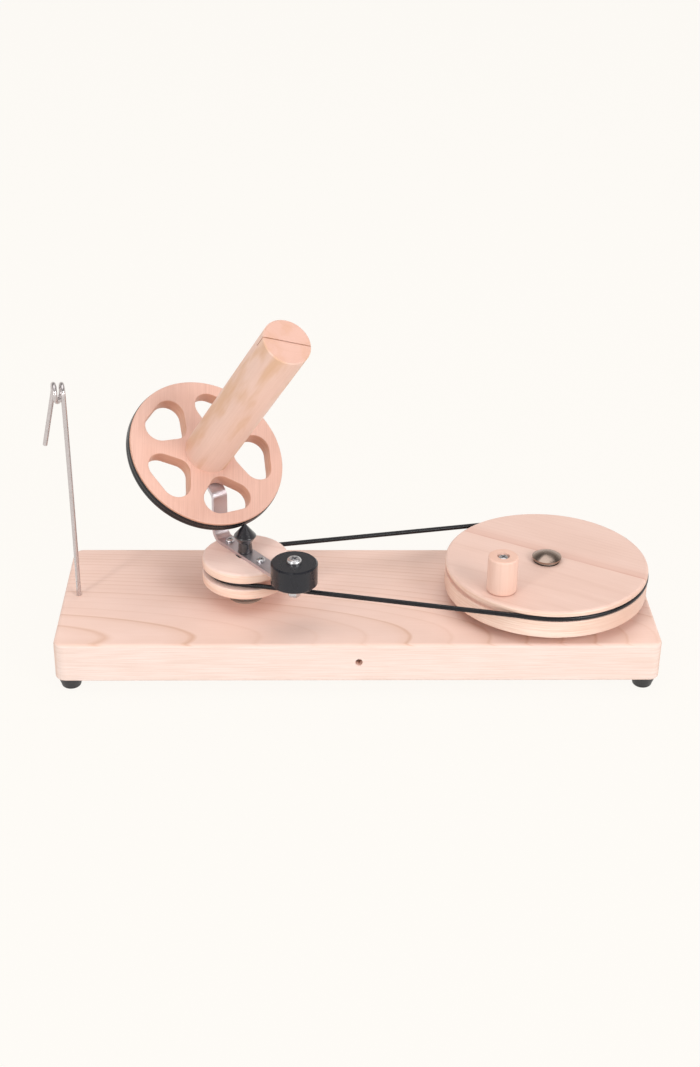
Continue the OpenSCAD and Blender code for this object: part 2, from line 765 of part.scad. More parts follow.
// Pulley
module flyer_pulley() {
    seat_d = bearing_d + 2 * seat_gap;
    color("#dcb892") difference() {
        at_post(pulley_z0) rotate_extrude()
            grooved_outline(pulley_r, pulley_thick, band_z - pulley_z0, pulley_band_r,
                pulley_lip_round, pulley_round, pulley_round);
        at_post() drill(bearing_d - 2 * ring_land, pulley_z0 - past, pulley_top + past);
        at_post() drill(seat_d, pulley_z0 - past, lower_bearing_z + bearing_w);
        at_post() drill(seat_d, upper_bearing_z, pulley_top + past);
        for (side = [-1, 1]) at_arm() translate([side * arm_screw_reach, 0, 0])
            drill(arm_screw_d + 2 * seat_gap, pulley_top - arm_screw_grip - 1, pulley_top + past);
    }
}

module pulley_bearing(z) {
    color("#8f9193") at_post(z) bearing(post_d + 2 * run_gap, bearing_d, bearing_w);
}

module pulley_bearing_upper() { pulley_bearing(upper_bearing_z); }

module pulley_bearing_lower() { pulley_bearing(lower_bearing_z); }

// Winder arm: the bar's outline from the side, one face there and the other back, then its round
// ends and its holes
module arm_outline() {
    plate_end = plate_middle + arm_width * up_slope - arm_thick / 2 * wheel_normal;
    lean = 90 + spindle_tilt;
    bar_end = -weight_reach - arm_width;
    outer_r = arm_lower_bend_r + arm_thick;
    front_r = arm_upper_bend_r + arm_thick;
    polygon(concat([[bar_end, pulley_top]],
        arc_points(lower_bend, outer_r, -90, 0, bend_steps),
        arc_points(upper_bend, arm_upper_bend_r, 180, lean, bend_steps),
        [plate_end, plate_end + arm_thick * wheel_normal],
        arc_points(upper_bend, front_r, lean, 180, bend_steps),
        arc_points(lower_bend, arm_lower_bend_r, 0, -90, bend_steps), [[bar_end, arm_top]]));
}

// What is cut off the bar past a hole's middle to leave its end round
module round_end_cut(z) {
    translate([0, 0, z - past]) difference() {
        translate([0, -arm_width, 0]) cube([2 * arm_width, 2 * arm_width, arm_thick + 2 * past]);
        drill(arm_width + joint_step, -past, arm_thick + 3 * past);
    }
}

module winder_arm() {
    color("#9a9b9c") difference() {
        at_arm() rotate([90, 0, 0]) translate([0, 0, -arm_width / 2])
            linear_extrude(arm_width) arm_outline();
        at_spindle() round_end_cut(-plate_back);
        at_weight() rotate([0, 0, 180]) round_end_cut(pulley_top);
        at_arm() drill(2 * arm_centre_hole_r, pulley_top - past, arm_top + past);
        for (side = [-1, 1]) at_arm() translate([side * arm_screw_reach, 0, 0])
            drill(arm_screw_d + 2 * seat_gap, pulley_top - past, arm_top + past);
        at_weight() drill(weight_bolt_d + 2 * seat_gap, pulley_top - past, arm_top + past);
        at_spindle() drill(post_d + 2 * seat_gap, -plate_back - past, arm_thick - plate_back + past);
    }
}

module arm_screws() {
    color("#bfc0c1") for (side = [-1, 1]) at_arm(arm_top)
        translate([side * arm_screw_reach, 0, 0])
            pan_screw(arm_head_d, arm_head_tall, arm_screw_d, arm_thick + arm_screw_grip);
}

// Counterweight with its bolt
module counterweight() {
    inner_r = weight_d / 2 - weight_chamfer;
    color("#202122") at_weight(arm_top) difference() {
        rotate_extrude() polygon([[0, 0], [inner_r, 0], [weight_d / 2, weight_chamfer],
            [weight_d / 2, weight_tall - weight_chamfer], [inner_r, weight_tall],
            [0, weight_tall]]);
        drill(weight_bolt_d + 2 * seat_gap, -past, weight_tall + past);
    }
}

module weight_screw() {
    color("#c4c6c8") at_weight(arm_top + weight_tall)
        pan_screw(weight_head_d, weight_head_tall, weight_bolt_d,
            weight_tall + arm_thick + weight_nut_tall + thread_past_nut);
}

module weight_nut() {
    color("#b8bab9") at_weight(pulley_top - weight_nut_tall)
        hex_nut(weight_bolt_d, weight_nut_tall, nut_flats(weight_bolt_d));
}

// Spindle's axle: a bolt whose head lies in the core, held in the arm by a nut behind it
module spindle_axle() {
    head_flats = nut_flats(post_d);
    shank_end = spindle_nut_z - thread_past_nut;
    color("#b8bab9") at_spindle() {
        translate([0, 0, axle_head_z]) cylinder(d = head_flats / cos(30), h = axle_head_tall,
            $fn = 6);
        drill(post_d, shank_end, axle_head_z + axle_head_tall / 2);
    }
}

module spindle_ring(outer_d, z0, z1) {
    at_spindle(z0) ring(outer_d, post_d + 2 * seat_gap, z1 - z0);
}

module spindle_inner_sleeve() {
    color("#9c9e9f") spindle_ring(post_d + 2 * ring_land, rear_bearing_z + bearing_w + face_gap,
        front_bearing_z - face_gap);
}

module spindle_rear_sleeve() {
    color("#9c9e9f") spindle_ring(post_d + 2 * ring_land, arm_thick - plate_back,
        rear_bearing_z - face_gap);
}

module spindle_washer() {
    color("#b8bab9") spindle_ring(washer_d(post_d), -plate_back - washer_thick, -plate_back);
}

module spindle_nut() {
    color("#b8bab9") at_spindle(spindle_nut_z)
        hex_nut(post_d, nut_tall(post_d), nut_flats(post_d));
}

// Winding wheel, the tyre in its groove and the core
module window_outline() {
    inner = [window_inner_reach + window_inner_r, 0];
    outer = [window_outer_reach - window_outer_r, window_width / 2 - window_outer_r];
    side = tangent_side(inner, window_inner_r, outer, window_outer_r, 1);
    turn = atan2(side[1], side[0]);
    polygon(concat(
        arc_points(inner, window_inner_r, turn, 360 - turn, window_steps),
        arc_points([outer[0], -outer[1]], window_outer_r, -turn, 0, window_steps),
        arc_points(outer, window_outer_r, 0, turn, window_steps)));
}

// Cross-section of the tyre, with its crown outward, grown by a gap for its groove
module tyre_outline(gap) {
    seat_r = tyre_r - tyre_thick;
    intersection() {
        translate([seat_r - gap, -tyre_width / 2 - gap])
            square([tyre_thick + 2 * gap, tyre_width + 2 * gap]);
        translate([tyre_r - tyre_crown_r, 0]) circle(tyre_crown_r + gap);
    }
}

module winding_wheel() {
    seat_r = tyre_r - tyre_thick - seat_gap;
    groove_w = tyre_width + 2 * seat_gap;
    color("#dab48e") at_spindle() difference() {
        translate([0, 0, -winding_wheel_thick])
            turned_disc(winding_wheel_d / 2, winding_wheel_thick, winding_round, winding_round);
        translate([0, 0, -winding_wheel_thick / 2 - groove_w / 2])
            ring(winding_wheel_d + 2 * past, 2 * seat_r, groove_w);
        for (i = [0 : window_count - 1]) rotate([0, 0, window_angle + i * 360 / window_count])
            translate([0, 0, -winding_wheel_thick - past])
                linear_extrude(winding_wheel_thick + 2 * past) window_outline();
        drill(bearing_d + 2 * seat_gap, -winding_wheel_thick - past, past);
    }
}

module winding_tyre() {
    color("#171717") at_spindle(-winding_wheel_thick / 2) rotate_extrude() tyre_outline(0);
}

module spindle_core() {
    color("#d9b181") at_spindle() difference() {
        rotate_extrude() polygon([[0, 0], [core_d / 2, 0], [core_d / 2, core_len - core_chamfer],
            [core_d / 2 - core_chamfer, core_len], [0, core_len]]);
        drill(bearing_d + 2 * seat_gap, -past, front_bearing_z + bearing_w);
        drill(axle_head_bore_d, 0, core_bore_end);
        rotate([0, 0, slit_angle]) translate([-core_d, -slit_w / 2, core_len - slit_depth])
            cube([2 * core_d, slit_w, slit_depth + past]);
    }
}

module spindle_bearing(z) {
    color("#8f9193") at_spindle(z) bearing(post_d + 2 * run_gap, bearing_d, bearing_w);
}

module spindle_bearing_rear() { spindle_bearing(rear_bearing_z); }

module spindle_bearing_front() { spindle_bearing(front_bearing_z); }

base_board();
rubber_foot_1();
rubber_foot_2();
rubber_foot_3();
rubber_foot_4();
foot_screws();
yarn_guide();
axle_bolt();
axle_top_washer();
axle_top_shim();
axle_sleeve();
axle_lower_shim();
axle_lock_nut();
axle_board_washer();
axle_recess_washer();
axle_recess_nut();
flyer_post();
post_inner_sleeve();
post_lower_sleeve();
post_lock_nut();
post_board_washer();
post_recess_washer();
post_recess_nut();
fixed_cone();
drive_band();
drive_wheel();
drive_bearing_upper();
drive_bearing_lower();
knob_screw();
knob_washer();
knob_nut();
crank_knob();
flyer_pulley();
pulley_bearing_upper();
pulley_bearing_lower();
winder_arm();
arm_screws();
counterweight();
weight_screw();
weight_nut();
spindle_axle();
spindle_inner_sleeve();
spindle_rear_sleeve();
spindle_washer();
spindle_nut();
winding_wheel();
winding_tyre();
spindle_core();
spindle_bearing_rear();
spindle_bearing_front();
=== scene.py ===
import json
import math

import bmesh
import bpy
from mathutils import Matrix, Vector


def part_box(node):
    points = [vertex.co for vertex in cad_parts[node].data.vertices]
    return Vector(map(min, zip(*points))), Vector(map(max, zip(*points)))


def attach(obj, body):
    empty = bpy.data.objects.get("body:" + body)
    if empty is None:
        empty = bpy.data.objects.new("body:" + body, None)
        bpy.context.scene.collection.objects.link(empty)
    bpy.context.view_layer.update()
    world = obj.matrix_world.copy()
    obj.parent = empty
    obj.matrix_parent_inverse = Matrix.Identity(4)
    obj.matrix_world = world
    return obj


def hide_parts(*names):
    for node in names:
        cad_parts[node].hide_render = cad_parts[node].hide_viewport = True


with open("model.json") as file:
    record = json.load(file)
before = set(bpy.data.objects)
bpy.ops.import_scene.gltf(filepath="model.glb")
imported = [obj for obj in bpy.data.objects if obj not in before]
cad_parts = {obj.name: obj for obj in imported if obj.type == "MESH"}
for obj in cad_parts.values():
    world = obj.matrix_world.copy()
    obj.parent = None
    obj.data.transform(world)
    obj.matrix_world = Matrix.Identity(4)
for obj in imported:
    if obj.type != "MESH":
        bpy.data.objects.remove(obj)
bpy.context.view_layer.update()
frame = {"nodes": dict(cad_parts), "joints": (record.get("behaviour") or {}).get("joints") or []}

MM = 0.001
NODES = frame["nodes"]
JOINTS = {joint["name"]: joint for joint in frame["joints"]}


# Directions and places that the frame gives
def joint_place(name):
    return Vector(JOINTS[name]["pos_m"])


UP = Vector((0, 0, 1))
ALONG = Vector((1, 0, 0))
BACK = Vector((0, 1, 0))
drive_axis = joint_place("drive_spin")
knob_axis = joint_place("knob_spin")
post_axis = joint_place("flyer_spin")
spindle_place = joint_place("spindle_spin")
spindle_axis = Vector(JOINTS["spindle_spin"]["axis"]).normalized()
arm_out = Vector((spindle_place.x - post_axis.x, spindle_place.y - post_axis.y, 0)).normalized()
wheel_across = UP.cross(spindle_axis).normalized()
wheel_up_slope = spindle_axis.cross(wheel_across)
board_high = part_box("base_board")[1]


# Node materials
class Shader:
    """A material with a Principled surface, whose nodes are made one call at a time."""

    def __init__(self, name):
        self.material = bpy.data.materials.new(name)
        self.material.use_nodes = True
        self.tree = self.material.node_tree
        self.surface = self.tree.nodes["Principled BSDF"]
        self.coords = self.tree.nodes.new("ShaderNodeTexCoord")

    def feed(self, socket, value):
        if isinstance(value, bpy.types.NodeSocket):
            self.tree.links.new(value, socket)
        else:
            socket.default_value = value

    def node(self, kind, inputs, **settings):
        made = self.tree.nodes.new("ShaderNode" + kind)
        for key, value in settings.items():
            setattr(made, key, value)
        for key, value in inputs.items():
            self.feed(made.inputs[key], value)
        return made

    def math(self, operation, *values):
        inputs = dict(enumerate(values))
        return self.node("Math", inputs, operation=operation).outputs[0]

    def vector(self, operation, *values):
        made = self.node("VectorMath", dict(enumerate(values)), operation=operation)
        return made.outputs["Value" if operation == "DOT_PRODUCT" else "Vector"]

    def combine(self, x, y, z):
        return self.node("CombineXYZ", {"X": x, "Y": y, "Z": z}).outputs[0]

    def scale(self, vector, factor):
        return self.node("VectorMath", {0: vector, "Scale": factor}, operation="SCALE").outputs[0]

    def swing(self, value, amount, base):
        """Base plus amount times how far value is from its middle."""
        return self.math("MULTIPLY_ADD", self.math("SUBTRACT", value, 0.5), amount, base)

    def clamp(self, value):
        return self.node("Clamp", {"Value": value}).outputs[0]

    def noise(self, vector, scale, detail=2.0, roughness=0.5):
        inputs = {"Vector": vector, "Scale": scale, "Detail": detail, "Roughness": roughness}
        return self.node("TexNoise", inputs, noise_dimensions="3D").outputs["Fac"]

    def spread(self, value, low, high, to_low=0.0, to_high=1.0):
        """Maps low to high onto to_low to to_high, clamped and smooth."""
        inputs = {"Value": value, "From Min": low, "From Max": high, "To Min": to_low,
                  "To Max": to_high}
        return self.node("MapRange", inputs, interpolation_type="SMOOTHSTEP").outputs["Result"]

    def ramp(self, value, stops, steps="LINEAR"):
        made = self.node("ValToRGB", {"Fac": value})
        made.color_ramp.interpolation = steps
        elements = made.color_ramp.elements
        while len(elements) < len(stops):
            elements.new(0.5)
        for element, (position, level) in zip(elements, stops):
            element.position = position
            element.color = (level, level, level, 1)
        return made.outputs["Color"]

    def mix(self, factor, a, b):
        made = self.tree.nodes.new("ShaderNodeMix")
        made.data_type = "RGBA"
        self.feed(made.inputs["Factor"], factor)
        self.feed(made.inputs["A"], a)
        self.feed(made.inputs["B"], b)
        return made.outputs["Result"]

    def bump(self, height, distance):
        inputs = {"Height": height, "Distance": distance, "Strength": 1.0}
        self.feed(self.surface.inputs["Normal"], self.node("Bump", inputs).outputs["Normal"])

    def finish(self, **values):
        for key, value in values.items():
            self.feed(self.surface.inputs[key.replace("_", " ")], value)
        return self.material


def srgb(red, green, blue):
    """A colour given as 0 to 255 on screen, as the linear colour that nodes take."""
    def linear(level):
        level /= 255
        return level / 12.92 if level <= 0.04045 else ((level + 0.055) / 1.055) ** 2.4
    return (linear(red), linear(green), linear(blue), 1.0)


def toned(colour, share):
    """A colour made lighter or darker by share."""
    return tuple(share * level for level in colour[:3]) + (1.0,)


def in_mm(shader, origin):
    """The place on the piece from origin, in millimetres."""
    moved = shader.vector("SUBTRACT", shader.coords.outputs["Object"], tuple(origin))
    return shader.scale(moved, 1 / MM)


# How fast each pattern of the wood changes along the grain, as a share of that across it
SWAY_RUN, FIBRE_RUN, PORE_RUN, CLOUD_RUN, LINE_RUN = 0.16, 0.02, 0.22, 0.35, 0.025
# How many year rings the table of marked ones spans, and how far apart the logs of two halves lay
MARKED_SPAN, GLUED_SHIFT = 16, 95.0
# How dark the wood's pores are, and how rough its lacquer is
PORE_DEPTH, LACQUER_ROUGHNESS = 0.1, 0.5


def wood(name, origin, grain, across, tones, pith, ring, ring_depth, drift=(0.0, 0.0),
         fibre=0.3, mottle=0.4, wobble=6.0, rim=None, glued=None, patches=None, marked=()):
    """Lacquered wood sawn from a log. Grain and across are directions, pith is where the log's
    middle lies across and deep at the origin, drift is how far it moves off per millimetre of
    length, and ring is the size and growth of the year rings. Tones are the light wood, the
    rings' dark side and the end grain. Rim is the light and dark tone of the narrow faces, whose
    lines run level; it is partly the side grain's own tone and partly painted light, paler where
    the narrow faces catch more light and darker where they lie in shade. Glued is the tone of the
    line where two halves meet, and patches are the tone, the size and the share of darker
    streaks. Marked is how much the first year rings show, from the log's middle."""
    light, dark, end = tones
    s = Shader(name)
    place = in_mm(s, origin)
    grain, across = Vector(grain).normalized(), Vector(across).normalized()
    depth = grain.cross(across)
    along = s.vector("DOT_PRODUCT", place, tuple(grain))
    side = s.vector("DOT_PRODUCT", place, tuple(across))
    deep = s.vector("DOT_PRODUCT", place, tuple(depth))

    def stretched(run):
        """The place, with its length along the grain times run."""
        return s.combine(s.math("MULTIPLY", along, run), side, deep)

    waves = s.noise(stretched(SWAY_RUN), 0.016, 3.0, 0.45)
    sway = s.math("MULTIPLY", s.math("SUBTRACT", waves, 0.5), wobble)
    off_side = s.math("SUBTRACT", side, s.math("MULTIPLY_ADD", along, drift[0], pith[0]))
    off_deep = s.math("SUBTRACT", deep, s.math("MULTIPLY_ADD", along, drift[1], pith[1]))
    if glued:
        half = s.math("GREATER_THAN", side, 0.0)
        off_side = s.math("MULTIPLY_ADD", half, GLUED_SHIFT, off_side)
    squares = s.math("ADD", s.math("MULTIPLY", off_side, off_side),
                     s.math("MULTIPLY", off_deep, off_deep))
    reach = s.math("ADD", s.math("SQRT", squares), sway)
    years = s.math("POWER", s.math("DIVIDE", reach, ring[0]), ring[1])
    late = s.ramp(s.math("FRACT", years), [(0.0, 0.2), (0.04, 0.0), (0.6, 0.05), (0.86, 0.3),
                                           (0.94, 1.0), (1.0, 0.2)])
    whole = s.math("FLOOR", years)
    chance = s.node("TexWhiteNoise", {"W": whole}, noise_dimensions="1D").outputs["Value"]
    strength = s.math("MULTIPLY_ADD", chance, 0.8, 0.2)
    if marked:
        stops = [(number / MARKED_SPAN, level) for number, level in enumerate(marked)]
        known = s.ramp(s.math("DIVIDE", years, MARKED_SPAN), stops, "CONSTANT")
        beyond = s.math("GREATER_THAN", years, float(len(marked)))
        strength = s.node("Mix", {0: beyond, 2: known, 3: strength}).outputs[0]
    late = s.math("MULTIPLY", late, strength)
    fibres = s.noise(stretched(FIBRE_RUN), 1.1, 4.0, 0.62)
    pores = s.spread(s.noise(stretched(PORE_RUN), 2.2, 1.0), 0.66, 0.78)
    cloud = s.noise(stretched(CLOUD_RUN), 0.035, 3.0)
    shade = s.math("MULTIPLY", late, ring_depth)
    shade = s.swing(fibres, fibre, shade)
    shade = s.swing(cloud, mottle, shade)
    shade = s.math("MULTIPLY_ADD", pores, PORE_DEPTH, shade)
    shade = s.clamp(s.math("ADD", shade, 0.15))
    colour = s.mix(shade, light, dark)
    normal = s.coords.outputs["Normal"]
    if patches:
        tone, size, share = patches
        streak = s.noise(stretched(PORE_RUN), size, 3.0, 0.55)
        colour = s.mix(s.spread(streak, 0.46, 0.66, 0.0, share), colour, tone)
    # Narrow faces swap to the rim tones with level side-grain lines: painted light where those tones
    # are paler than the faces, painted shade where they are darker
    if rim:
        narrow = s.math("ABSOLUTE", s.vector("DOT_PRODUCT", normal, tuple(depth)))
        level = s.combine(s.math("MULTIPLY", along, LINE_RUN),
                          s.math("MULTIPLY", side, LINE_RUN), deep)
        lines = s.noise(level, 1.1, 4.0, 0.65)
        faint = s.swing(cloud, 0.9, s.spread(lines, 0.3, 0.75))
        faint = s.clamp(s.math("MULTIPLY_ADD", pores, 0.35, faint))
        colour = s.mix(s.spread(narrow, 0.35, 0.8, 1.0, 0.0), colour,
                       s.mix(faint, rim[0], rim[1]))
    if glued:
        gap = s.math("ABSOLUTE", side)
        upper = s.math("MULTIPLY", half, s.spread(gap, 1.0, 18.0, 0.34, 0.0))
        colour = s.mix(upper, colour, glued)
        fade = s.spread(s.noise(s.combine(along, 0.0, 0.0), 0.02, 2.0), 0.35, 0.6, 0.25, 0.8)
        colour = s.mix(s.math("MULTIPLY", s.spread(gap, 0.15, 0.9, 1.0, 0.0), fade), colour, glued)
    facing = s.math("ABSOLUTE", s.vector("DOT_PRODUCT", normal, tuple(grain)))
    cut = s.spread(facing, 0.6, 0.97, 0.0, 0.7)
    colour = s.mix(cut, colour, s.mix(shade, end, dark))
    s.bump(s.math("MULTIPLY_ADD", fibres, 0.5, s.math("MULTIPLY", pores, -0.5)), 0.03 * MM)
    lacquer = s.spread(fibres, 0.3, 0.7, LACQUER_ROUGHNESS + 0.05, LACQUER_ROUGHNESS - 0.05)
    return s.finish(Base_Color=colour, Roughness=lacquer, Coat_Weight=0.12, Coat_Roughness=0.3,
                    IOR=1.45)


# Size of the rubber's grit
GRIT_SIZE = 0.3


def rubber(name, colour, roughness, ior=1.5):
    s = Shader(name)
    place = in_mm(s, (0, 0, 0))
    grit = s.noise(place, 1 / GRIT_SIZE, 2.0)
    dust = s.spread(s.noise(place, 0.08, 3.0), 0.35, 0.75)
    s.bump(grit, 0.03 * MM)
    tone = s.mix(dust, colour, toned(colour, 1.35))
    return s.finish(Base_Color=tone, IOR=ior,
                    Roughness=s.spread(dust, 0, 1, roughness - 0.05, roughness + 0.08))


def plastic(name, colour, roughness, coat=0.0, ior=1.5):
    s = Shader(name)
    place = in_mm(s, (0, 0, 0))
    haze = s.noise(place, 0.12, 4.0)
    s.bump(s.noise(place, 2.0, 2.0), 0.01 * MM)
    return s.finish(Base_Color=colour, Roughness=s.spread(haze, 0.3, 0.7, roughness - 0.04,
                                                          roughness + 0.06),
                    IOR=ior, Coat_Weight=coat, Coat_Roughness=0.08)


# How fast scratches change along the brushing, as a share of that across it
SCRATCH_RUN = 0.03


def metal(name, colour, roughness, brushed=None, scratch=0.05):
    """Metal, with fine scratches along brushed, a direction, where that is given."""
    s = Shader(name)
    place = in_mm(s, (0, 0, 0))
    if brushed is None:
        lines = s.noise(place, 1.2, 3.0)
    else:
        brushed = Vector(brushed).normalized()
        run = s.vector("DOT_PRODUCT", place, tuple(brushed))
        flat = s.scale(tuple(brushed), run)
        rest = s.vector("SUBTRACT", place, flat)
        slow = s.scale(flat, SCRATCH_RUN)
        lines = s.noise(s.vector("ADD", rest, slow), 5.0, 4.0, 0.7)
    smudge = s.noise(place, 0.09, 3.0)
    s.bump(lines, scratch * MM)
    shade = s.mix(s.spread(lines, 0.25, 0.75), colour, toned(colour, 0.8))
    return s.finish(Base_Color=shade, Metallic=1.0,
                    Roughness=s.spread(smudge, 0.3, 0.7, roughness - 0.05, roughness + 0.07))


# Where the drive wheel's glued line runs: its turn in radians, and its way off the axle in millimetres
GLUE_TURN, GLUE_OFFSET = -0.53, 12
# Slant of the winding wheel's grain, across its slope
WINDING_SLANT = 0.577
# Where the middle of the board's log starts, in metres
BOARD_LOG_X, BOARD_LOG_Y = -0.24, -0.071
wheel_grain = Vector((math.cos(GLUE_TURN), math.sin(GLUE_TURN), 0))
WOOD_TONES = (srgb(236, 203, 189), srgb(198, 150, 128), srgb(222, 180, 160))
# The drive wheel's rim tones are paler than its faces: partly the side grain's tone, partly painted
# light
PAINTED_LIGHT_RIM_TONES = (srgb(249, 222, 206), srgb(230, 192, 170))

# The board's rim tones, paler than its top, are partly painted light on its lit front and ends
board_wood = wood("lacquered_board", (BOARD_LOG_X, BOARD_LOG_Y, board_high.z), ALONG, BACK,
                  (srgb(244, 212, 199), srgb(208, 158, 126), srgb(230, 190, 170)),
                  pith=(0, -24), drift=(0.0, -0.2), ring=(31.2, 1.884), ring_depth=0.6,
                  rim=(srgb(242, 220, 210), srgb(231, 203, 189)), wobble=5.0,
                  marked=(0.75, 0.9, 0.3, 0.2, 0.3, 0.85, 0.3))
drive_wood = wood("drive_wheel_wood", drive_axis + GLUE_OFFSET * MM * UP.cross(wheel_grain),
                  wheel_grain, UP.cross(wheel_grain), WOOD_TONES, pith=(-40, -90),
                  ring=(20, 1.5), ring_depth=0.22, fibre=0.4, rim=PAINTED_LIGHT_RIM_TONES,
                  glued=srgb(206, 150, 130))
# The pulley's tones are paler than the other woods': painted light that lifts the shade it stands in,
# with its rim tones paler again, also partly painted light
pulley_wood = wood("pulley_wood", post_axis, (0.9, -0.35, 0), (0.35, 0.9, 0),
                   (srgb(253, 224, 212), srgb(220, 174, 156), srgb(238, 196, 178)),
                   pith=(10, -50), ring=(16, 1.4), ring_depth=0.22, fibre=0.4,
                   rim=(srgb(254, 225, 208), srgb(242, 198, 172)))
knob_wood = wood("knob_wood", knob_axis, UP, ALONG,
                 (srgb(242, 206, 190), srgb(208, 158, 132), srgb(228, 184, 164)),
                 pith=(40, 30), ring=(9, 1.2), ring_depth=0.16, fibre=0.4)
winding_grain = (wheel_up_slope + WINDING_SLANT * wheel_across).normalized()
# The winding wheel's rim tones, darker than its faces, are painted shade on its rim and window walls
winding_wood = wood("winding_wheel_wood", spindle_place, winding_grain,
                    spindle_axis.cross(winding_grain),
                    (srgb(226, 182, 165), srgb(184, 130, 108), srgb(206, 154, 132)),
                    pith=(60, -90), ring=(14, 1.3), ring_depth=0.14, fibre=0.85, mottle=0.35,
                    rim=(srgb(222, 172, 146), srgb(196, 140, 112)))
core_wood = wood("core_wood", spindle_place, spindle_axis, wheel_across,
                 (srgb(240, 204, 188), srgb(206, 158, 132), srgb(216, 168, 152)),
                 pith=(14, 22), ring=(12, 1.3), ring_depth=0.3, fibre=0.5, mottle=0.6,
                 patches=(srgb(216, 166, 120), 0.065, 0.6))
foot_rubber = rubber("foot_rubber", srgb(38, 36, 38), 0.5)
band_rubber = rubber("band_rubber", srgb(20, 19, 23), 0.3, ior=1.38)
cone_plastic = plastic("cone_plastic", srgb(34, 32, 37), 0.26, coat=0.9)
weight_metal = plastic("weight_metal", srgb(30, 30, 36), 0.28, coat=0.2, ior=1.38)
arm_steel = metal("arm_steel", srgb(222, 214, 219), 0.36, brushed=arm_out)
bright_steel = metal("bright_steel", srgb(220, 219, 222), 0.3)
washer_steel = metal("washer_steel", srgb(186, 180, 172), 0.4)
plated_steel = metal("plated_steel", srgb(196, 195, 190), 0.3)
wire_steel = metal("wire_steel", srgb(214, 207, 207), 0.3, scratch=0.006)
# The dome's warm brown tint is painted reflection of the wood around it
dome_steel = metal("dome_steel", srgb(172, 152, 140), 0.24, brushed=ALONG, scratch=0.01)
bearing_steel = metal("bearing_steel", srgb(170, 171, 172), 0.25)

FINISHES = {
    board_wood: ["base_board"],
    drive_wood: ["drive_wheel"],
    pulley_wood: ["flyer_pulley"],
    knob_wood: ["crank_knob"],
    winding_wood: ["winding_wheel"],
    core_wood: ["spindle_core"],
    foot_rubber: [f"rubber_foot_{number}" for number in range(1, 5)],
    band_rubber: ["drive_band", "winding_tyre"],
    cone_plastic: ["fixed_cone"],
    weight_metal: ["counterweight"],
    arm_steel: ["winder_arm"],
    wire_steel: ["yarn_guide"],
    dome_steel: ["axle_bolt"],
    bright_steel: ["knob_screw", "arm_screws", "weight_screw", "flyer_post", "foot_screws",
                   "spindle_axle", "post_lock_nut"],
    washer_steel: ["post_board_washer"],
    bearing_steel: ["drive_bearing_upper", "drive_bearing_lower", "pulley_bearing_upper",
                    "pulley_bearing_lower", "spindle_bearing_rear", "spindle_bearing_front"],
}
finished = {node for nodes in FINISHES.values() for node in nodes}
FINISHES[plated_steel] = [node for node in NODES if node not in finished]
for material, names in FINISHES.items():
    for name in names:
        for slot in NODES[name].material_slots:
            slot.material = material


# Pieces of the scene's own, in place of plain solids
def add_piece(name, mesh, body, slot, material, *replaced):
    piece = bpy.data.objects.new(name, mesh)
    bpy.context.scene.collection.objects.link(piece)
    mesh.materials.clear()
    mesh.materials.append(material)
    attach(piece, body)
    if replaced:
        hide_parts(*replaced)


# Faces that turn by less than the first are one flat face, edges sharper than the second are
# shaded sharp, and those sharper than the third are softened
FLAT_TURN, CREASE_TURN, SHARP_TURN = math.radians(0.5), math.radians(35), math.radians(40)
# Corners round a cord or wire, and how much of a wire's radius its ends are softened by
CORD_SIDES, WIRE_CAP = 24, 0.25


def smooth(mesh):
    mesh.shade_smooth()
    mesh.set_sharp_from_angle(angle=CREASE_TURN)
    return mesh


def softened(node, width, pick):
    """A copy of a node's mesh, with the sharp edges that pick chooses rounded."""
    form = bmesh.new()
    form.from_mesh(NODES[node].data)
    bmesh.ops.remove_doubles(form, verts=form.verts, dist=0.001 * MM)
    bmesh.ops.dissolve_limit(form, angle_limit=FLAT_TURN, verts=form.verts,
                             edges=form.edges)
    edges = [edge for edge in form.edges if len(edge.link_faces) == 2
             and edge.calc_face_angle() > SHARP_TURN
             and all(pick(corner.co) for corner in edge.verts)]
    bmesh.ops.bevel(form, geom=edges, offset=width * MM, offset_type="OFFSET",
                    segments=3, profile=0.5, affect="EDGES", clamp_overlap=False)
    mesh = bpy.data.meshes.new(node + "_softened")
    form.to_mesh(mesh)
    form.free()
    return smooth(mesh)


def made_mesh(name, corners, faces):
    mesh = bpy.data.meshes.new(name)
    mesh.from_pydata(corners, [], faces)
    return mesh


def circle(place, first, second, radius):
    """Corners round a cord's middle, in the plane of two directions."""
    return [place + radius * (math.cos(turn) * first + math.sin(turn) * second)
            for turn in (2 * math.pi * k / CORD_SIDES for k in range(CORD_SIDES))]


def tube(name, path, radius):
    """A round wire along a path, its ends softened."""
    points = [Vector(point) for point in path]
    ahead = [(points[min(i + 1, len(points) - 1)] - points[max(i - 1, 0)]).normalized()
             for i in range(len(points))]
    side = ahead[0].orthogonal().normalized()
    soft = WIRE_CAP * radius
    sections = [(points[0], ahead[0], radius - soft)]
    sections += [(points[0] + soft * ahead[0], ahead[0], radius)]
    sections += [(points[i], ahead[i], radius) for i in range(1, len(points) - 1)]
    sections += [(points[-1] - soft * ahead[-1], ahead[-1], radius)]
    sections += [(points[-1], ahead[-1], radius - soft)]
    corners = []
    for place, way, reach in sections:
        side = (side - side.dot(way) * way).normalized()
        corners += circle(place, side, way.cross(side), reach)
    sides = CORD_SIDES
    faces = [(i * sides + k, i * sides + (k + 1) % sides, (i + 1) * sides + (k + 1) % sides,
              (i + 1) * sides + k) for i in range(len(sections) - 1) for k in range(sides)]
    faces += [tuple(range(sides))[::-1],
              tuple(range((len(sections) - 1) * sides, len(sections) * sides))]
    return smooth(made_mesh(name, corners, faces))


